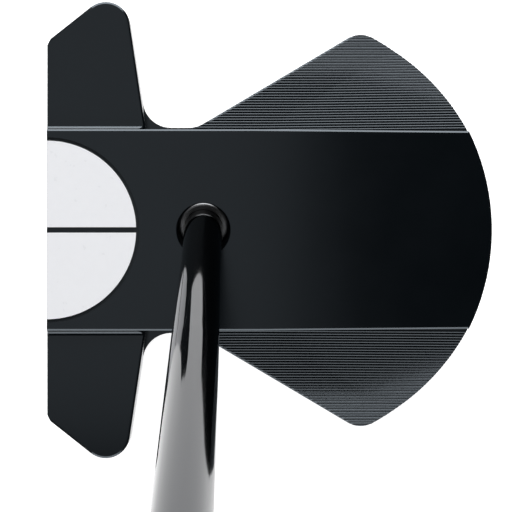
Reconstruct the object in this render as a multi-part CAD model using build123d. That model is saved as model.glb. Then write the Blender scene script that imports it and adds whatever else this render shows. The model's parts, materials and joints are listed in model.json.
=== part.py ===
"""Centre-shafted mallet putter, right-handed, standing in its address position.

Millimetres. The row frame has +X from the strike face towards the back of the
head, +Y towards the toe and +Z up, with the sole on Z = 0. The head is drawn
with X measured from the top edge of the strike face, and everything is shifted
by SOCKET_X on writing, so that the origin lies straight below the mouth of the
shaft socket.
"""
from build123d import *
from math import asin, atan, cos, degrees, radians, sin, sqrt, tan
import os

# --- head heights above the ground -----------------------------------------
DECK_Z = 25.0            # flat top of the central deck
WING_Z = 23.1            # tops of the two front wings
FAN_Z = 17.0             # low band of the tail fans, and the waist between them
LAND_Z = 15.0            # walls are upright above this and drafted below it
WALL_DRAFT = 13.0        # degrees
LOFT = 3.0               # degrees, strike face

# --- head plan, X from the top edge of the strike face ----------------------
STOCK_X = -9.0           # the block reaches here before the strike face is cut
DECK_HALF = 24.05        # half width of the deck up to DECK_KINK_X
DECK_REAR_HALF = 23.6    # half width of the deck at its rear corners
DECK_KINK_X = 50.0
REAR_R = 53.45           # one circle rounds the whole rear of the head
REAR_CX = 52.95
TIP_LINE_Y = 45.4        # wing tip bevel: its Y at X = 0 and its slope
TIP_SLOPE = 0.79
WING_REAR_X = 27.08      # wing rear edge: its X at Y = 0 and its slope
WING_REAR_SLOPE = -0.149
WAIST_HALF = 25.0        # half width of the waist
FAN_EDGE_X = 38.57       # a point on the leading edge of the tail fan
FAN_EDGE_Y = 26.87
FAN_ANGLE = 30.6         # degrees between that edge and the X axis
WING_TIP_R = 5.8
WING_CORNER_BEVEL = 0.35
WAIST_R = 7.0
FAN_TIP_R = 6.3

# --- ridged tail fans --------------------------------------------------------
RIDGE_FIRST_Y = 24.445
RIDGE_PITCH = 0.6455
RIDGE_COUNT = 37
RIDGE_FLAT = 0.08        # half width of a ridge's crest
RIDGE_SHOULDER = 0.20    # half width at the foot of its bevels
RIDGE_BEVEL = 0.082      # drop of those bevels
RIDGE_DEPTH = 0.32       # crest to valley
RIDGE_START_X = 35.5
RIDGE_RUN = 80.0         # past the rear of the head
RAMP_START = 8.5         # distance from the leading edge to the foot of the ramp
RAMP_LAP = 2.0           # the ramp's block reaches this far in front of its foot
RAMP_SLOPE = 0.235

# --- edges -------------------------------------------------------------------
DECK_BEVEL = (0.38, 0.25)    # width and drop
WING_BEVEL = (0.45, 0.22)
FAN_BEVEL = (0.45, 0.3)
STEP_FILLET = 1.3        # between the wings and the deck
SOLE_EDGE = 1.2

# --- sight mark --------------------------------------------------------------
BALL_R = 21.335          # half of a golf ball's 42.67 diameter
MARK_BORDER = 0.8
MARK_POCKET = 0.30
ENAMEL_T = 0.22
SIGHT_LINE = 1.3
MARK_FRONT_X = 0.05

# --- strike face insert --------------------------------------------------------
INSERT_W = 66.0
INSERT_H = 17.0
INSERT_T = 4.0
INSERT_Z = 12.2          # height of its centre
INSERT_R = 3.0
INSERT_GAP = 0.1         # seam all round it
BOND_T = 0.15

# --- shaft, socket and grip -----------------------------------------------------
LIE = 70.0               # degrees between shaft and ground
SOCKET_X = 37.4
MOUTH_R = 6.4            # upright counterbore in the deck
MOUTH_DEPTH = 5.5
MOUTH_CHAMFER = 0.15
SLEEVE_R = 6.1           # along the shaft from here on, heights 0 at the deck
SLEEVE_BORE_R = 4.60
SLEEVE_TOP = -1.8
SLEEVE_BOTTOM = -21.0
SLEEVE_ROUND = 0.8       # quarter round on its top rim
CLUB_LENGTH = 864.0      # 34 inches, ground to the end of the cap
TIP_R = 4.51             # 0.355 inch tip
TIP_PARALLEL = 30.0
SHOULDER_AT = 72.0
SHOULDER_R = 4.88
BUTT_R = 7.37            # 0.580 inch butt
SHAFT_WALL = 0.5
TIP_PLUG_LENGTH = 14.0
GRIP_LENGTH = 267.0      # 10.5 inches with its cap
CAP_T = 4.0
TAPE_T = 0.25
VENT_R = 1.6

# --- weights and screws in the sole ----------------------------------------------
WEIGHT_R = 5.0
WEIGHT_HEAD_R = 6.0
WEIGHT_HEAD_T = 2.0
WEIGHT_LENGTH = 11.0
WEIGHT_KEY = 4.0         # across flats
SEAL_T = 0.5
SEAT_GAP = 0.1           # round a weight's head
FRONT_WEIGHT = (9.0, 38.5)
REAR_WEIGHT = (73.5, 35.5)
SCREW_R = 2.5
SCREW_LENGTH = 8.0
SCREW_KEY = 2.5
SCREW_SPOTS = ((17.0, 16.0), (43.0, 17.0), (68.0, 18.5), (90.0, 18.5))
FITTING_SINK = 0.3       # heads sit this far inside the sole
KEY_DEPTH = 3.0
CAVITY_X = (50.0, 97.0)
CAVITY_HALF = 14.5
CAVITY_DEPTH = 18.0
CAVITY_R = 6.0

SIDES = {"toe": 1, "heel": -1}


# --- helpers ------------------------------------------------------------------
def fan_edge_y(x):
    """Y of the tail fan's leading edge, produced, at X."""
    return FAN_EDGE_Y + (x - FAN_EDGE_X) * tan(radians(FAN_ANGLE))


def wing_rear_x(y):
    """X of the wing's rear edge, produced, at Y."""
    return WING_REAR_X + WING_REAR_SLOPE * y


def wing_tip_corner():
    """Where the tip bevel and the rear edge of a wing would meet."""
    y = (TIP_LINE_Y + TIP_SLOPE * WING_REAR_X) / (1 - TIP_SLOPE * WING_REAR_SLOPE)
    return (wing_rear_x(y), y)


def fan_tip_corner():
    """Where the fan's leading edge would meet the rear circle."""
    slope = tan(radians(FAN_ANGLE))
    y0 = fan_edge_y(REAR_CX)
    run = (-slope * y0 + sqrt(REAR_R**2 * (1 + slope**2) - y0**2)) / (1 + slope**2)
    return (REAR_CX + run, y0 + slope * run)


def rounded(sketch, points, radius):
    """Round the corners of a sketch that lie nearest to the points, on both sides."""
    corners = []
    for x, y in points:
        for side in SIDES.values():
            spot = Vector(x, side * y, 0)
            corners.append(sketch.vertices().sort_by(lambda v: (Vector(v) - spot).length)[0])
    return fillet(corners, radius)


def both_sides(half):
    """A sketch and its mirror image across the X axis."""
    return half + mirror(half, about=Plane.XZ)


def on_shaft():
    """Placement of the shaft frame: Z up the shaft from the deck, Y facing the toe."""
    return Location((SOCKET_X, 0, DECK_Z), (90 - LIE, 0, 0))


def bevelled(sketch, top, bevel):
    """Upright block from LAND_Z to top, whose upper rim has a bevel of (width, drop)."""
    block = Pos(0, 0, LAND_Z) * extrude(sketch, top - LAND_Z)
    lid = block.faces().sort_by(Axis.Z)[-1]
    return chamfer(lid.edges(), *bevel, reference=lid)


def tube(outer, inner):
    """Solid of revolution about Z from (radius, height) pairs, outer going up, inner back down."""
    profile = Polyline(*[(r, 0, z) for r, z in outer + inner[::-1]], close=True)
    return revolve(make_face(profile), Axis.Z)


# --- head ---------------------------------------------------------------------
def wing_sketch():
    corner = wing_tip_corner()
    half = make_face(Polyline(
        (STOCK_X, 0),
        (STOCK_X, TIP_LINE_Y + TIP_SLOPE * STOCK_X),
        corner,
        (wing_rear_x(0), 0),
        close=True,
    ))
    return rounded(both_sides(half), [corner], WING_TIP_R)


def fan_sketch():
    """Both tail fans and what lies between them, with a sharp leading corner at the waist."""
    start_x = RIDGE_START_X - 3
    corner = fan_tip_corner()
    swing = asin(corner[1] / REAR_R) / 2
    outline = [
        Line((start_x, 0), (start_x, fan_edge_y(start_x))),
        Line((start_x, fan_edge_y(start_x)), corner),
        ThreePointArc(
            corner,
            (REAR_CX + REAR_R * cos(swing), REAR_R * sin(swing)),
            (REAR_CX + REAR_R, 0),
        ),
        Line((REAR_CX + REAR_R, 0), (start_x, 0)),
    ]
    return rounded(both_sides(make_face(Curve() + outline)), [corner], FAN_TIP_R)


def deck_sketch():
    swing = asin(DECK_REAR_HALF / REAR_R)
    corner = (REAR_CX + REAR_R * cos(swing), DECK_REAR_HALF)
    outline = [
        Polyline((STOCK_X, 0), (STOCK_X, DECK_HALF), (DECK_KINK_X, DECK_HALF), corner),
        ThreePointArc(
            corner,
            (REAR_CX + REAR_R * cos(swing / 2), REAR_R * sin(swing / 2)),
            (REAR_CX + REAR_R, 0),
        ),
        Line((REAR_CX + REAR_R, 0), (STOCK_X, 0)),
    ]
    return both_sides(make_face(Curve() + outline))


def base_sketch():
    """Outline of the head below the low band: wings, waist and fans in one."""
    waist = Pos((STOCK_X + DECK_KINK_X) / 2, 0) * Rectangle(DECK_KINK_X - STOCK_X, 2 * WAIST_HALF)
    outline = wing_sketch() + waist + fan_sketch()
    notch_front = (wing_rear_x(WAIST_HALF), WAIST_HALF)
    notch_rear_x = FAN_EDGE_X + (WAIST_HALF - FAN_EDGE_Y) / tan(radians(FAN_ANGLE))
    return rounded(outline, [notch_front, (notch_rear_x, WAIST_HALF)], WAIST_R)


def ridge_comb(rise, run_slope, side_slope, height):
    """Space above a ridged surface, whose crests are level from side to side. The
    crest at Y = FAN_EDGE_Y lies at height rise where X = RIDGE_START_X; the crests
    climb by run_slope along X and stand side_slope higher for each step along Y."""
    points = []
    for index in range(RIDGE_COUNT):
        crest = RIDGE_FIRST_Y + index * RIDGE_PITCH
        top = rise + side_slope * (crest - FAN_EDGE_Y)
        points += [
            (crest - RIDGE_SHOULDER, top - RIDGE_BEVEL),
            (crest - RIDGE_FLAT, top),
            (crest + RIDGE_FLAT, top),
            (crest + RIDGE_SHOULDER, top - RIDGE_BEVEL),
            (crest + RIDGE_PITCH / 2, top - RIDGE_DEPTH + side_slope * RIDGE_PITCH / 2),
        ]
    first_y, first_z = RIDGE_FIRST_Y - RIDGE_PITCH / 2, rise - RIDGE_DEPTH
    first_z += side_slope * (first_y - FAN_EDGE_Y)
    points.insert(0, (first_y, first_z))
    points.insert(0, (DECK_REAR_HALF - 2, first_z))
    last_y, last_z = points[-1]
    points += [(last_y + 2, last_z), (last_y + 2, rise + height), (DECK_REAR_HALF - 2, rise + height)]
    section = Polyline(*[(RIDGE_START_X, y, z) for y, z in points], close=True)
    return extrude(make_face(section), amount=RIDGE_RUN, dir=(1, 0, run_slope))


def fan_ramp():
    """The toe side's ridged ramp, which climbs away from the low band."""
    angle = radians(FAN_ANGLE)
    foot = RAMP_START - RAMP_LAP
    along = Pos(FAN_EDGE_X, FAN_EDGE_Y) * Rot(0, 0, FAN_ANGLE)
    keep = along * Pos(50, -foot - 50) * Rectangle(200, 100)
    inner = Pos(60, 40 + DECK_REAR_HALF - 1) * Rectangle(120, 80)
    block = Pos(0, 0, LAND_Z) * extrude(fan_sketch() & keep & inner, DECK_Z - LAND_Z)
    from_foot = (RIDGE_START_X - FAN_EDGE_X) * sin(angle) - RAMP_START
    rise = FAN_Z + RAMP_SLOPE * from_foot
    return block - ridge_comb(rise, RAMP_SLOPE * sin(angle), -RAMP_SLOPE * cos(angle), 25)


def face_plane():
    """Plane of the strike face: origin at the top edge, X to the toe, Y up the face."""
    lean = radians(LOFT)
    return Plane(origin=(0, 0, DECK_Z), x_dir=(0, -1, 0), z_dir=(-cos(lean), 0, sin(lean)))


def wing_corner_bevel():
    """What a small upright bevel takes off between the strike face and the toe wing's tip."""
    midway = (180 + 90 + degrees(atan(TIP_SLOPE))) / 2
    outward = Pos(0, TIP_LINE_Y) * Rot(0, 0, midway)
    return outward * Pos(5 - WING_CORNER_BEVEL, 0, DECK_Z / 2) * Box(10, 20, 2 * DECK_Z)


def fan_edge_bevel():
    """What a bevel takes off the toe fan's leading edge."""
    angle = radians(FAN_ANGLE)
    across = Plane(
        origin=(FAN_EDGE_X, FAN_EDGE_Y, FAN_Z),
        x_dir=(-sin(angle), cos(angle), 0),
        z_dir=(cos(angle), sin(angle), 0),
    )
    width, drop = FAN_BEVEL
    over = 0.05
    section = Polyline(
        (-width, 0), (-width, over), (over, over), (over, -drop * (1 + over / width)), close=True
    )
    return extrude(across * make_face(section), 60)


def head_blank():
    """The head with its outside shape, before pockets and bores."""
    front = extrude(face_plane() * Rectangle(200, 200), 60)
    corner = wing_corner_bevel()
    corners = [corner, mirror(corner, about=Plane.XZ)]
    wings = bevelled(wing_sketch(), WING_Z, WING_BEVEL) - front - corners
    deck = bevelled(deck_sketch(), DECK_Z, DECK_BEVEL) - front
    upper = wings + deck
    step = upper.edges().filter_by(Axis.X).filter_by(
        lambda e: abs(e.center().Z - WING_Z) < 0.1 and abs(abs(e.center().Y) - DECK_HALF) < 0.1
    )
    upper = fillet(step, STEP_FILLET)

    low = Pos(0, 0, LAND_Z) * extrude(base_sketch(), FAN_Z - LAND_Z) - front - corners
    bevel = fan_edge_bevel()
    comb = ridge_comb(FAN_Z, 0, 0, 3)
    for cutter in (comb, bevel):
        low -= [cutter, mirror(cutter, about=Plane.XZ)]

    drafted = Pos(0, 0, LAND_Z) * extrude(base_sketch(), LAND_Z, dir=(0, 0, -1), taper=WALL_DRAFT)
    sole_rim = drafted.edges().group_by(Axis.Z)[0]
    drafted = chamfer(sole_rim.filter_by(lambda e: e.center().X > STOCK_X + 1), SOLE_EDGE) - front
    front_rim = drafted.edges().group_by(Axis.Z)[0].filter_by(lambda e: e.center().X < 0)
    drafted = chamfer(front_rim.filter_by(Axis.Y), SOLE_EDGE) - corners

    ramp = fan_ramp()
    return upper + [low, drafted, ramp, mirror(ramp, about=Plane.XZ)]


def sight_pocket():
    return Pos(0, 0, DECK_Z - MARK_POCKET / 2) * Cylinder(BALL_R + MARK_BORDER, MARK_POCKET)


def insert_sketch(gap):
    """Outline of the strike face insert on the face plane, shrunk by gap."""
    drop = (DECK_Z - INSERT_Z) / cos(radians(LOFT))
    return Pos(0, -drop) * RectangleRounded(INSERT_W - 2 * gap, INSERT_H - 2 * gap, INSERT_R - gap)


def socket_bore():
    mouth = Pos(SOCKET_X, 0, DECK_Z - MOUTH_DEPTH / 2) * Cylinder(MOUTH_R, MOUTH_DEPTH)
    rim = Pos(SOCKET_X, 0, DECK_Z - MOUTH_CHAMFER / 2) * Cone(
        MOUTH_R, MOUTH_R + MOUTH_CHAMFER, MOUTH_CHAMFER
    )
    bore = tube([(SLEEVE_R, SLEEVE_BOTTOM), (SLEEVE_R, 0)], [(0, SLEEVE_BOTTOM), (0, 0)])
    return [mouth, rim, on_shaft() * bore]


def weight_port():
    seat_z = FITTING_SINK + WEIGHT_HEAD_T
    seat = Cylinder(WEIGHT_HEAD_R + SEAT_GAP, seat_z, align=(Align.CENTER, Align.CENTER, Align.MIN))
    shank = Cylinder(
        WEIGHT_R, FITTING_SINK + WEIGHT_LENGTH, align=(Align.CENTER, Align.CENTER, Align.MIN)
    )
    return seat + shank


def sole_cavity():
    length = CAVITY_X[1] - CAVITY_X[0]
    outline = RectangleRounded(length, 2 * CAVITY_HALF, CAVITY_R)
    return Pos(sum(CAVITY_X) / 2, 0, 0) * extrude(outline, CAVITY_DEPTH)


def head_body():
    body = head_blank() - sight_pocket() - sole_cavity()
    body -= extrude(face_plane() * insert_sketch(0), -INSERT_T - BOND_T)
    body -= socket_bore()
    for side in SIDES.values():
        for x, y in (FRONT_WEIGHT, REAR_WEIGHT):
            body -= Pos(x, side * y, 0) * weight_port()
        for x, y in SCREW_SPOTS:
            hole = Cylinder(
                SCREW_R, FITTING_SINK + SCREW_LENGTH, align=(Align.CENTER, Align.CENTER, Align.MIN)
            )
            body -= Pos(x, side * y, 0) * hole
    return body


def sight_enamel(side):
    """One half of the white half disc, lying in its pocket beside the sight line."""
    disc = extrude(Circle(BALL_R), ENAMEL_T)
    window = Pos(MARK_FRONT_X, side * SIGHT_LINE / 2, 0) * Box(
        50, 50, 2, align=(Align.MIN, Align.MIN if side > 0 else Align.MAX, Align.CENTER)
    )
    return Pos(0, 0, DECK_Z - MARK_POCKET) * (disc & window)


def face_insert():
    return extrude(face_plane() * insert_sketch(INSERT_GAP), -INSERT_T)


def face_bond():
    return extrude(face_plane().offset(-INSERT_T) * insert_sketch(INSERT_GAP), -BOND_T)


# --- sole fittings --------------------------------------------------------------
def hex_key(across_flats):
    return extrude(RegularPolygon(across_flats / 2, 6, major_radius=False), KEY_DEPTH)


def sole_weight(spot, side):
    head_t = WEIGHT_HEAD_T - SEAL_T
    head = Cylinder(WEIGHT_HEAD_R, head_t, align=(Align.CENTER, Align.CENTER, Align.MIN))
    head = chamfer(head.edges().group_by(Axis.Z)[0], 0.3)
    shank = Cylinder(WEIGHT_R, WEIGHT_LENGTH, align=(Align.CENTER, Align.CENTER, Align.MIN))
    weight = head + shank - hex_key(WEIGHT_KEY)
    return Pos(spot[0], side * spot[1], FITTING_SINK) * weight


def weight_seal(spot, side):
    ring = Circle(WEIGHT_HEAD_R) - Circle(WEIGHT_R)
    height = FITTING_SINK + WEIGHT_HEAD_T - SEAL_T
    return Pos(spot[0], side * spot[1], height) * extrude(ring, SEAL_T)


def balance_screws(side):
    screw = Cylinder(SCREW_R, SCREW_LENGTH, align=(Align.CENTER, Align.CENTER, Align.MIN))
    screw = chamfer(screw.edges().group_by(Axis.Z)[0], 0.3) - hex_key(SCREW_KEY)
    return Compound([Pos(x, side * y, FITTING_SINK) * screw for x, y in SCREW_SPOTS])


# --- shaft ------------------------------------------------------------------------
def butt_at():
    """Height of the shaft's butt end, under the cap."""
    return CLUB_LENGTH - DECK_Z / sin(radians(LIE)) - CAP_T


def shaft_radius(height):
    """Outer radius of the shaft's upper taper."""
    share = (height - SHOULDER_AT) / (butt_at() - SHOULDER_AT)
    return SHOULDER_R + share * (BUTT_R - SHOULDER_R)


def shaft():
    outer = [
        (TIP_R, SLEEVE_BOTTOM),
        (TIP_R, TIP_PARALLEL),
        (SHOULDER_R, SHOULDER_AT),
        (BUTT_R, butt_at()),
    ]
    return on_shaft() * tube(outer, [(r - SHAFT_WALL, z) for r, z in outer])


def hosel_sleeve():
    sleeve = tube(
        [(SLEEVE_R, SLEEVE_BOTTOM), (SLEEVE_R, SLEEVE_TOP)],
        [(SLEEVE_BORE_R, SLEEVE_BOTTOM), (SLEEVE_BORE_R, SLEEVE_TOP)],
    )
    rim = sleeve.edges().group_by(Axis.Z)[-1].sort_by(SortBy.LENGTH)[-1]
    return on_shaft() * fillet(rim, SLEEVE_ROUND)


def shaft_epoxy():
    top = SLEEVE_TOP - 1
    outer = [(SLEEVE_BORE_R, SLEEVE_BOTTOM), (SLEEVE_BORE_R, top)]
    return on_shaft() * tube(outer, [(TIP_R, SLEEVE_BOTTOM), (TIP_R, top)])


def tip_plug():
    bore = TIP_R - SHAFT_WALL
    plug = Pos(0, 0, SLEEVE_BOTTOM) * Cylinder(
        bore, TIP_PLUG_LENGTH, align=(Align.CENTER, Align.CENTER, Align.MIN)
    )
    return on_shaft() * plug


# --- grip ---------------------------------------------------------------------------
GRIP_SECTIONS = (        # below the butt, half width, flat front, round back
    (0.0, 13.2, 11.0, 17.0),
    (20.0, 13.5, 11.2, 18.8),
    (52.0, 13.2, 11.2, 18.6),
    (105.0, 12.6, 11.0, 14.6),
    (170.0, 12.0, 10.7, 12.4),
    (240.0, 11.2, 10.2, 11.0),
    (GRIP_LENGTH - CAP_T, 10.6, 9.8, 10.4),
)


def grip_section(half_width, front, back):
    """Pistol section: flat towards the toe, round towards the player."""
    flat = 0.62 * half_width
    side = [(half_width, 0.15 * front), (0.66 * half_width, -0.74 * back)]
    ends = [(flat, front), (-flat, front)]
    other_side = [(-x, y) for x, y in side[::-1]]
    round_part = Spline(ends[0], *side, (0, -back), *other_side, ends[1])
    return make_face(Curve() + [Line(ends[1], ends[0]), round_part])


def grip_body():
    butt = butt_at()
    sections = [Pos(0, 0, butt - down) * grip_section(w, f, b) for down, w, f, b in GRIP_SECTIONS[::-1]]
    solid = loft(sections)
    low = butt - GRIP_SECTIONS[-1][0]
    bore = tube([(shaft_radius(low) + TAPE_T, low), (BUTT_R + TAPE_T, butt)], [(0, low), (0, butt)])
    return on_shaft() * (solid - bore)


def grip_cap():
    _, half_width, front, back = GRIP_SECTIONS[0]
    cap = extrude(grip_section(half_width, front, back), CAP_T)
    cap = fillet(cap.edges().group_by(Axis.Z)[-1], 1.4)
    cap -= Cylinder(VENT_R, 3 * CAP_T)
    return on_shaft() * Pos(0, 0, butt_at()) * cap


def grip_tape():
    low = butt_at() - GRIP_SECTIONS[-1][0] + 3
    outer = [(shaft_radius(low) + TAPE_T, low), (BUTT_R + TAPE_T, butt_at())]
    inner = [(r - TAPE_T, z) for r, z in outer]
    return on_shaft() * tube(outer, inner)


def main():
    parts = {
        "head_body": head_body(),
        "face_insert": face_insert(),
        "face_bond": face_bond(),
        "hosel_sleeve": hosel_sleeve(),
        "shaft_epoxy": shaft_epoxy(),
        "shaft": shaft(),
        "shaft_tip_plug": tip_plug(),
        "grip_body": grip_body(),
        "grip_cap": grip_cap(),
        "grip_tape": grip_tape(),
    }
    for name, side in SIDES.items():
        parts[f"sight_enamel_{name}"] = sight_enamel(side)
        parts[f"balance_screws_{name}"] = balance_screws(side)
        for place, spot in (("front", FRONT_WEIGHT), ("rear", REAR_WEIGHT)):
            parts[f"{place}_weight_{name}"] = sole_weight(spot, side)
            parts[f"{place}_weight_seal_{name}"] = weight_seal(spot, side)
    os.makedirs("parts", exist_ok=True)
    for node, part in parts.items():
        export_step(Pos(-SOCKET_X, 0, 0) * part, f"parts/{node}.step")


main()
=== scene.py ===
"""Looks of the mallet putter: its CAD pieces' materials, a moulded grip, a milled face, lights, camera."""
import bpy
import json
from math import cos, pi, radians, sin, sqrt
from mathutils import Matrix, Vector
from mathutils.bvhtree import BVHTree


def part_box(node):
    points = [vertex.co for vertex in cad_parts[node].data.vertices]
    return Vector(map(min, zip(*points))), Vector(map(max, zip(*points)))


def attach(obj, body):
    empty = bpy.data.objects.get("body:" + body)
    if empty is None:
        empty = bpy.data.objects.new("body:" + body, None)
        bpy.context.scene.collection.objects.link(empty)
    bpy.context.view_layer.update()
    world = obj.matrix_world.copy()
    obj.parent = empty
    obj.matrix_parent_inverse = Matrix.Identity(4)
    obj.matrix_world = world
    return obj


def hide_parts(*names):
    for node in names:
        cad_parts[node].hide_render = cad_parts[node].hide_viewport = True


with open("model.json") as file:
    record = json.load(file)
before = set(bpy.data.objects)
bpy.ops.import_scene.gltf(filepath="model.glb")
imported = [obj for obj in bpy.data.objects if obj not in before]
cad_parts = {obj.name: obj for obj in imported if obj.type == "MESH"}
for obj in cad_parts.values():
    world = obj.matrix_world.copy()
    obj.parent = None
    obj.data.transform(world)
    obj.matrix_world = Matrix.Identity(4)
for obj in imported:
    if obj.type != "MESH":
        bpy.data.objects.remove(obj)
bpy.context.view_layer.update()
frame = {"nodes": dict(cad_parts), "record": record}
MM = 0.001

# --- places taken from the frame ------------------------------------------------------
HEAD_LOW, HEAD_HIGH = (Vector(corner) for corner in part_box("head_body"))
DECK = HEAD_HIGH.z
LIE = radians(70)
LOFT = radians(3)
SHAFT_FRAME = Matrix((
    (1, 0, 0, 0),
    (0, sin(LIE), -cos(LIE), 0),
    (0, cos(LIE), sin(LIE), DECK),
    (0, 0, 0, 1),
))

# --- sight mark and socket: where the head's finish differs and its recesses get painted shade ---
LOFT_LEAD = 1.25 * MM          # how far the face's foot stands out past its top edge
MARK_X = HEAD_LOW.x + LOFT_LEAD
MARK_R = 22.135 * MM
MARK_FLOOR = DECK - 0.3 * MM
SOCKET_R = 6.4 * MM
SOCKET_FLOOR = 1 * MM
BELOW_DECK = DECK - 0.1 * MM   # under here a recess gets painted shade
WORN_BELOW = 4 * MM            # the sole's edges are scuffed, up to this height

# --- grip -----------------------------------------------------------------------------
GRIP_ROW = 0.65 * MM
GRIP_COLUMNS = 132
GRIP_RIM = 0.8 * MM            # quarter round at its lower end
GRIP_RIM_ROWS = (0, 0.04, 0.15, 0.35, 0.65)    # in shares of its height
GRIP_CLEAR = 0.01 * MM         # how far the moulding stays inside its CAD solid
GRIP_REACH = 40 * MM           # further from the shaft's axis than any of the grip
GRIP_INSET = 0.02 * MM         # the end rows are measured this far inside the ends
GROOVE_DEPTH = 0.32 * MM
GROOVE_TURNS = 16              # diagonal grooves round the grip, each way
GROOVE_STEP = 5.2 * MM         # along the grip
GROOVE_SHARP = 6
TICK_STEP = 4.0 * MM           # grooves across the flat front
TICK_HALF = 5.2 * MM
TICK_FADE = 1 * MM
FRONT_HALF_ANGLE = 0.66        # radians, the plain border of the flat front
FRONT_FADE = 0.12              # radians
PLAIN_ENDS = (13 * MM, 16 * MM)
FADE = 2.5 * MM

# --- milled face ----------------------------------------------------------------------
INSERT_R = 2.9 * MM
MILL_PITCH = 0.8 * MM
MILL_HALF = 0.24 * MM
MILL_DEPTH = 0.1 * MM

# --- stage ----------------------------------------------------------------------------
FLOOR_HALF = 4.0
FLOOR_GREY = 0.9
FLOOR_GLOW = 0.8
HORIZON_GREY = 0.9             # the world's radiance at the floor's height
ZENITH_GREY = 0.02
HORIZON_BAND = (0.0, 0.12)     # it falls off between these sines of the elevation
SOFTBOXES = {                  # spot, target, (wide, high), radiance
    "softbox_top": ((-0.74, 0.44, 1.3), (-0.74, 0.44, 0), (1.62, 1.29), 0.57),
    "softbox_toe": ((0, 1.3, 0.55), (0, 0, 0), (1.6, 0.95), 7.6),
    "softbox_heel": ((0, -1.3, 0.55), (0, 0, 0), (1.6, 0.8), 4.3),
}

# --- camera: straight down, its image's up along +Y -----------------------------------
CAMERA_SPOT = (10.2 * MM, -6.4 * MM, 415 * MM)
CAMERA_LENS = 114.8
CAMERA_SHIFT = (0.0195, 0.0014)    # the view's centre from the camera's, in shares of its width


# --- node helpers ---------------------------------------------------------------------
def material(name, colour, roughness, metallic=0.0, **more):
    """A new material with one Principled shader, whose other sockets are set by name."""
    made = bpy.data.materials.new(name)
    made.use_nodes = True
    shader = made.node_tree.nodes["Principled BSDF"]
    shader.inputs["Base Color"].default_value = (*colour, 1)
    shader.inputs["Roughness"].default_value = roughness
    shader.inputs["Metallic"].default_value = metallic
    for socket, value in more.items():
        shader.inputs[socket.replace("_", " ")].default_value = value
    return made


def connect(made, value, socket):
    """Links a socket to an input, or sets the input to a plain value."""
    if isinstance(value, bpy.types.NodeSocket):
        made.node_tree.links.new(value, socket)
    else:
        socket.default_value = value


def node(made, kind, **inputs):
    """Adds a node to a material and sets or links its inputs by name."""
    added = made.node_tree.nodes.new(kind)
    for name, value in inputs.items():
        connect(made, value, added.inputs[name.replace("_", " ")])
    return added


def shade(made, source, target):
    """Links a socket to one of the Principled shader's."""
    made.node_tree.links.new(source, made.node_tree.nodes["Principled BSDF"].inputs[target])


def place(made):
    """Position in the part's own frame, metres."""
    return node(made, "ShaderNodeTexCoord").outputs["Object"]


def along_axes(made):
    """That position's X, Y and Z."""
    return node(made, "ShaderNodeSeparateXYZ", Vector=place(made)).outputs


def maths(made, operation, first, second=0.0):
    """The result of one operation on two sockets or numbers."""
    added = made.node_tree.nodes.new("ShaderNodeMath")
    added.operation = operation
    connect(made, first, added.inputs[0])
    connect(made, second, added.inputs[1])
    return added.outputs[0]


def noise(made, scale, stretch=(1, 1, 1), detail=4.0, rough=0.6):
    """Noise, scale in features per metre, stretched along the part's axes."""
    mapping = node(made, "ShaderNodeMapping", Vector=place(made), Scale=stretch)
    field = node(made, "ShaderNodeTexNoise", Vector=mapping.outputs["Vector"], Scale=scale)
    field.inputs["Detail"].default_value = detail
    field.inputs["Roughness"].default_value = rough
    return field.outputs["Fac"]


def spread(made, field, low, high, floor=0.3, ceiling=0.7):
    """Maps a field's range from floor to ceiling onto low..high."""
    mapped = node(made, "ShaderNodeMapRange", Value=field)
    for index, value in zip((1, 2, 3, 4), (floor, ceiling, low, high)):
        connect(made, value, mapped.inputs[index])
    return mapped.outputs["Result"]


def blend(made, share, first, second):
    """Colour that runs from first to second."""
    mix = made.node_tree.nodes.new("ShaderNodeMix")
    mix.data_type = "RGBA"
    connect(made, share, mix.inputs[0])
    for colour, socket in ((first, mix.inputs[6]), (second, mix.inputs[7])):
        connect(made, (*colour, 1) if isinstance(colour, tuple) else colour, socket)
    return mix.outputs[2]


def tint(made, field, dark, light):
    """Colour that runs from dark to light with a field's middle range."""
    return blend(made, spread(made, field, 0, 1), dark, light)


def bump(made, field, height, strength=1.0, under=None):
    """Bump of a real height in metres, on top of another one."""
    raised = node(made, "ShaderNodeBump", Height=field, Strength=strength, Distance=height)
    if under is not None:
        made.node_tree.links.new(under, raised.inputs["Normal"])
    return raised.outputs["Normal"]


def worn_edges(made, radius):
    """1 along convex and concave edges of about a radius, 0 on flats."""
    rounded = node(made, "ShaderNodeBevel", Radius=radius)
    true = node(made, "ShaderNodeNewGeometry")
    dot = made.node_tree.nodes.new("ShaderNodeVectorMath")
    dot.operation = "DOT_PRODUCT"
    made.node_tree.links.new(rounded.outputs["Normal"], dot.inputs[0])
    made.node_tree.links.new(true.outputs["Normal"], dot.inputs[1])
    return spread(made, dot.outputs["Value"], 1, 0, 0.80, 0.99)


# --- materials ------------------------------------------------------------------------
def recesses(made):
    """1 on the floor of the sight pocket and inside the shaft socket, 0 elsewhere on the head: where
    painted shade darkens it.
    """
    axes = along_axes(made)
    level = maths(made, "LESS_THAN", axes["Z"], BELOW_DECK)
    squares = maths(made, "POWER", axes["Y"], 2)

    def within(centre_x, radius, floor):
        from_centre = maths(made, "POWER", maths(made, "SUBTRACT", axes["X"], centre_x), 2)
        near = maths(made, "LESS_THAN", maths(made, "ADD", from_centre, squares), radius**2)
        above = maths(made, "GREATER_THAN", axes["Z"], floor)
        return maths(made, "MULTIPLY", maths(made, "MULTIPLY", near, above), level)

    pocket = within(MARK_X, MARK_R, MARK_FLOOR - 0.05 * MM)
    socket = within(0, SOCKET_R, SOCKET_FLOOR)
    return pocket, socket


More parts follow.
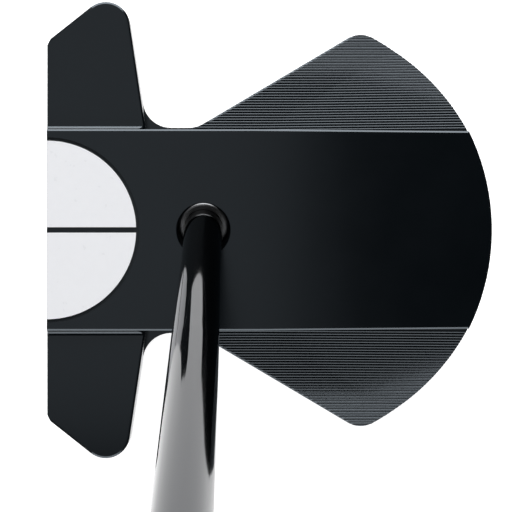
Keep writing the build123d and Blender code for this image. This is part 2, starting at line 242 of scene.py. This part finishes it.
def scuffed_sole(made):
    """1 where the edges of the sole are rubbed bright, in patches."""
    low = maths(made, "LESS_THAN", along_axes(made)["Z"], WORN_BELOW)
    scuffs = spread(made, noise(made, 900, detail=4), 0, 1, 0.45, 0.75)
    worn = maths(made, "MULTIPLY", worn_edges(made, 0.35 * MM), scuffs)
    return maths(made, "MULTIPLY", worn, low)


def anodised():
    """Black anodised aluminium, satin, with painted shade darkening its recesses, which are rougher too,
    rubbed along the sole.
    """
    made = material("black_anodised", (0.0018, 0.0028, 0.0038), 0.15, Specular_Tint=(0.79, 0.90, 1, 1))
    cloud = noise(made, 60, detail=3)
    milling = noise(made, 1800, (0.03, 1, 1), detail=2)
    pocket, socket = recesses(made)
    recess_shade_and_rough_mask = maths(made, "MAXIMUM", pocket, socket)
    wear = scuffed_sole(made)

    black = tint(made, cloud, (0.0014, 0.0023, 0.0032), (0.0022, 0.0033, 0.0044))
    # painted shade: the sight pocket's floor and the shaft socket are darkened to near black
    black = blend(made, recess_shade_and_rough_mask, black, (0.0012, 0.0014, 0.0016))
    shade(made, blend(made, wear, black, (0.045, 0.047, 0.05)), "Base Color")

    satin = maths(made, "ADD", spread(made, cloud, 0.14, 0.165), maths(made, "MULTIPLY", milling, 0.01))
    satin = maths(made, "ADD", satin, maths(made, "MULTIPLY", recess_shade_and_rough_mask, 0.4))
    satin = maths(made, "ADD", satin, maths(made, "MULTIPLY", wear, 0.15))
    shade(made, satin, "Roughness")

    grain = maths(made, "MULTIPLY", noise(made, 3500, detail=2), pocket)
    marks = bump(made, milling, 0.001 * MM, 0.04)
    shade(made, bump(made, grain, 0.06 * MM, 0.8, marks), "Normal")
    return made


def enamel():
    """White enamel with a faint ripple."""
    made = material("white_enamel", (0.865, 0.873, 0.902), 0.3)
    ripple = noise(made, 500, detail=2)
    shade(made, tint(made, ripple, (0.859, 0.867, 0.896), (0.871, 0.879, 0.908)), "Base Color")
    shade(made, spread(made, ripple, 0.27, 0.33), "Roughness")
    shade(made, bump(made, ripple, 0.01 * MM, 0.3), "Normal")
    return made


def black_chrome():
    """Dark mirror plating with faint marks drawn along the shaft."""
    made = material("black_chrome", (0.088, 0.09, 0.094), 0.06, 1.0)
    drawn = noise(made, 300, (1, 0.05, 0.02), detail=3)
    shade(made, tint(made, drawn, (0.085, 0.087, 0.091), (0.091, 0.093, 0.097)), "Base Color")
    shade(made, spread(made, drawn, 0.045, 0.085), "Roughness")
    shade(made, bump(made, drawn, 0.001 * MM, 0.3), "Normal")
    return made


def turned_metal(name, colour, roughness):
    """Lathe-turned metal with fine rings and bright worn edges."""
    made = material(name, colour, roughness, 1.0)
    rings = noise(made, 2500, (1, 1, 0.1), detail=2)
    wear = worn_edges(made, 0.15 * MM)
    bright = tuple(min(1.0, channel * 1.6) for channel in colour)
    dark = tuple(channel * 0.8 for channel in colour)
    shade(made, blend(made, wear, tint(made, rings, dark, colour), bright), "Base Color")
    shade(made, spread(made, rings, roughness - 0.06, roughness + 0.08), "Roughness")
    shade(made, bump(made, rings, 0.003 * MM, 0.25), "Normal")
    return made


def rubber(name, colour, grain_size=0.35 * MM, roughness=0.62):
    """Moulded rubber or plastic with a fine pebble and a slight sheen of handling."""
    made = material(name, colour, roughness)
    grain = noise(made, 1 / grain_size, detail=3)
    handled = noise(made, 25, detail=3)
    light = tuple(min(1.0, channel * 1.35) for channel in colour)
    shade(made, tint(made, handled, colour, light), "Base Color")
    blotch = spread(made, handled, roughness - 0.08, roughness + 0.06)
    shade(made, maths(made, "ADD", blotch, spread(made, grain, -0.05, 0.05)), "Roughness")
    shade(made, bump(made, grain, 0.04 * MM, 0.7), "Normal")
    return made


def paint(piece, made):
    """Gives a piece one material all over."""
    piece.data.materials.clear()
    piece.data.materials.append(made)


def all_finishes():
    """The material of each of the record's slots."""
    return {
        "head": anodised(),
        "insert": turned_metal("insert_steel", (0.10, 0.10, 0.105), 0.32),
        "sleeve": turned_metal("sleeve_metal", (0.14, 0.143, 0.148), 0.33),
        "shaft": black_chrome(),
        "grip": rubber("grip_rubber", (0.018, 0.018, 0.019)),
        "cap": rubber("cap_rubber", (0.024, 0.024, 0.025), 0.2 * MM, 0.45),
        "tape": rubber("tape_cloth", (0.6, 0.58, 0.5), 0.5 * MM, 0.8),
        "enamel": enamel(),
        "screws": turned_metal("screw_steel", (0.42, 0.42, 0.43), 0.28),
        "weights": turned_metal("weight_steel", (0.30, 0.30, 0.31), 0.30),
        "seals": rubber("seal_rubber", (0.01, 0.01, 0.01), 0.2 * MM, 0.5),
        "plug": rubber("plug_plastic", (0.5, 0.48, 0.42), 0.4 * MM, 0.5),
        "adhesive": rubber("epoxy", (0.3, 0.28, 0.22), 0.6 * MM, 0.4),
    }


# --- pieces ---------------------------------------------------------------------------
def add_piece(name, points, faces, stands_for, smooth):
    """A new piece of the club, in place of a CAD node."""
    mesh = bpy.data.meshes.new(name)
    mesh.from_pydata(points, [], faces)
    mesh.polygons.foreach_set("use_smooth", [smooth] * len(mesh.polygons))
    mesh.update()
    piece = bpy.data.objects.new(name, mesh)
    bpy.context.collection.objects.link(piece)
    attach(piece, "root")
    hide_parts(stands_for)
    return piece


def strip(first, second, count):
    """Quads between two closed loops of count points that start at these indices."""
    quads = []
    for index in range(count):
        after = (index + 1) % count
        quads.append((first + index, first + after, second + after, second + index))
    return quads


def fade_in(value, start, width):
    """0 up to start, then a smooth rise to 1 over a width."""
    share = min(1.0, max(0.0, (value - start) / width))
    return share * share * (3 - 2 * share)


def groove_depth(height, angle, radius, low, high):
    """How deep the grip's moulded pattern is, at a height and an angle from its right side."""
    ends = fade_in(height, low + PLAIN_ENDS[0], FADE) * fade_in(-height, -high + PLAIN_ENDS[1], FADE)
    from_front = abs((angle - pi / 2 + pi) % (2 * pi) - pi)
    across = abs(radius * cos(angle))
    narrow = 1 - fade_in(across, TICK_HALF, TICK_FADE)
    ticks = narrow * cos(pi * height / TICK_STEP) ** (2 * GROOVE_SHARP)
    if from_front > pi / 2:
        ticks = 0
    climb = 2 * pi * height / GROOVE_STEP
    slants = [cos((GROOVE_TURNS * angle + way * climb) / 2) ** (2 * GROOVE_SHARP) for way in (1, -1)]
    sides = fade_in(from_front, FRONT_HALF_ANGLE, FRONT_FADE)
    return GROOVE_DEPTH * ends * max(ticks, sides * max(slants))


def moulded_grip():
    """The grip's rubber, on its CAD solid's surface, with its pattern moulded into it."""
    cad = frame["nodes"]["grip_body"].data
    to_shaft = SHAFT_FRAME.inverted()
    shape = [to_shaft @ corner.co for corner in cad.vertices]
    tree = BVHTree.FromPolygons(shape, [tuple(face.vertices) for face in cad.polygons])
    low = min(point.z for point in shape)
    high = max(point.z for point in shape)

    def radius_at(height, angle, outward):
        """The CAD solid's radius: of its bore, looking outward, or of its outside."""
        way = Vector((cos(angle), sin(angle), 0))
        level = min(max(height, low + GRIP_INSET), high - GRIP_INSET)
        start = Vector((0, 0, level)) + (Vector() if outward else way * GRIP_REACH)
        hit = tree.ray_cast(start, way if outward else -way)[0]
        return hit.to_2d().length

    rows = int((high - low - GRIP_RIM) / GRIP_ROW)
    heights = [low + share * GRIP_RIM for share in GRIP_RIM_ROWS]
    heights += [low + GRIP_RIM + (high - low - GRIP_RIM) * row / rows for row in range(rows + 1)]
    points = []
    faces = []
    for height in heights:
        past = max(0.0, GRIP_RIM - (height - low))
        shrink = GRIP_RIM - sqrt(max(0.0, GRIP_RIM**2 - past**2))
        for column in range(GRIP_COLUMNS):
            angle = 2 * pi * column / GRIP_COLUMNS
            radius = radius_at(height, angle, False)
            radius -= shrink + groove_depth(height, angle, radius, low, high) + GRIP_CLEAR
            points.append((radius * cos(angle), radius * sin(angle), height))
    for row in range(len(heights) - 1):
        faces += strip(row * GRIP_COLUMNS, (row + 1) * GRIP_COLUMNS, GRIP_COLUMNS)
    for height in (high, low):
        for column in range(GRIP_COLUMNS):
            angle = 2 * pi * column / GRIP_COLUMNS
            radius = radius_at(height, angle, True)
            points.append((radius * cos(angle), radius * sin(angle), height))
    top = (len(heights) - 1) * GRIP_COLUMNS
    bore = len(heights) * GRIP_COLUMNS
    faces += strip(top, bore, GRIP_COLUMNS)
    faces += strip(bore, bore + GRIP_COLUMNS, GRIP_COLUMNS)
    faces += strip(bore + GRIP_COLUMNS, 0, GRIP_COLUMNS)
    placed = [SHAFT_FRAME @ Vector(point) for point in points]
    return add_piece("grip_moulding", placed, faces, "grip_body", True)


def milled_insert():
    """The strike face insert with fine milled grooves across its front."""
    cad = frame["nodes"]["face_insert"].data
    normal = Vector((-cos(LOFT), 0, sin(LOFT)))
    up = Vector((sin(LOFT), 0, cos(LOFT)))
    toe = Vector((0, 1, 0))
    spots = [(corner.co.dot(toe), corner.co.dot(up), corner.co.dot(normal)) for corner in cad.vertices]
    half_width = max(spot[0] for spot in spots)
    low = min(spot[1] for spot in spots)
    high = max(spot[1] for spot in spots)
    back = min(spot[2] for spot in spots)
    front = max(spot[2] for spot in spots)

    count = int((high - low) / MILL_PITCH)
    margin = (high - low - count * MILL_PITCH) / 2
    levels = [(low, 0.0)]
    for index in range(count):
        middle = low + margin + (index + 0.5) * MILL_PITCH
        levels += [(middle - MILL_HALF, 0.0), (middle, MILL_DEPTH), (middle + MILL_HALF, 0.0)]
    levels.append((high, 0.0))

    points = []
    for level, depth in levels:
        into_corner = max(0.0, INSERT_R - min(level - low, high - level))
        half = half_width - INSERT_R + sqrt(INSERT_R**2 - into_corner**2)
        for across, plane in ((-half, front - depth), (half, front - depth), (half, back), (-half, back)):
            points.append(toe * across + up * level + normal * plane)
    faces = [(0, 1, 2, 3)]
    for row in range(len(levels) - 1):
        faces += strip(4 * row + 4, 4 * row, 4)
    last = 4 * (len(levels) - 1)
    faces.append((last + 3, last + 2, last + 1, last))
    return add_piece("milled_face", points, faces, "face_insert", False)


def dress():
    """Paints every CAD node and adds the pieces that stand for two of them."""
    finishes = all_finishes()
    slots = {row["node"]: row["material_slot"] for row in frame["record"]["subparts"]}
    for name, piece in frame["nodes"].items():
        paint(piece, finishes[slots[name]])
    paint(moulded_grip(), finishes["grip"])
    paint(milled_insert(), finishes["insert"])


# --- stage, lights and camera ---------------------------------------------------------
def softbox(name, spot, target, size, brightness):
    """A rectangular light, (wide, high) metres, of a stated radiance."""
    data = bpy.data.lights.new(name, "AREA")
    data.shape = "RECTANGLE"
    data.size, data.size_y = size
    data.energy = brightness * pi * size[0] * size[1]
    lamp = bpy.data.objects.new(name, data)
    lamp.location = spot
    lamp.rotation_euler = (Vector(target) - Vector(spot)).to_track_quat("-Z", "Y").to_euler()
    lamp.visible_camera = False
    bpy.context.collection.objects.link(lamp)


def floor():
    """A plain pale floor."""
    mesh = bpy.data.meshes.new("floor")
    corners = [(-1, -1), (1, -1), (1, 1), (-1, 1)]
    mesh.from_pydata([(x * FLOOR_HALF, y * FLOOR_HALF, 0) for x, y in corners], [], [(0, 1, 2, 3)])
    ground = bpy.data.objects.new("floor", mesh)
    bpy.context.collection.objects.link(ground)
    paper = material(
        "floor_paper", (FLOOR_GREY,) * 3, 0.9,
        Specular_IOR_Level=0.0, Emission_Color=(1, 1, 1, 1), Emission_Strength=FLOOR_GLOW,
    )
    paint(ground, paper)


def studio():
    """A world that is pale down to the horizon and dark overhead."""
    world = bpy.data.worlds.new("studio")
    world.use_nodes = True
    direction = node(world, "ShaderNodeTexCoord").outputs["Generated"]
    height = node(world, "ShaderNodeSeparateXYZ", Vector=direction).outputs["Z"]
    light = spread(world, height, HORIZON_GREY, ZENITH_GREY, *HORIZON_BAND)
    world.node_tree.links.new(light, world.node_tree.nodes["Background"].inputs["Strength"])
    world.node_tree.nodes["Background"].inputs["Color"].default_value = (1, 1, 1, 1)
    bpy.context.scene.world = world
    bpy.context.scene.view_settings.view_transform = "Standard"
    for name, (spot, target, size, radiance) in SOFTBOXES.items():
        softbox(name, spot, target, size, radiance)


def camera():
    """A camera that looks straight down at the head."""
    data = bpy.data.cameras.new("camera")
    data.lens = CAMERA_LENS
    data.clip_start = 0.01
    data.shift_x, data.shift_y = CAMERA_SHIFT
    eye = bpy.data.objects.new("camera", data)
    eye.location = CAMERA_SPOT
    bpy.context.collection.objects.link(eye)
    bpy.context.scene.camera = eye


dress()
floor()
studio()
camera()
bpy.context.view_layer.update()
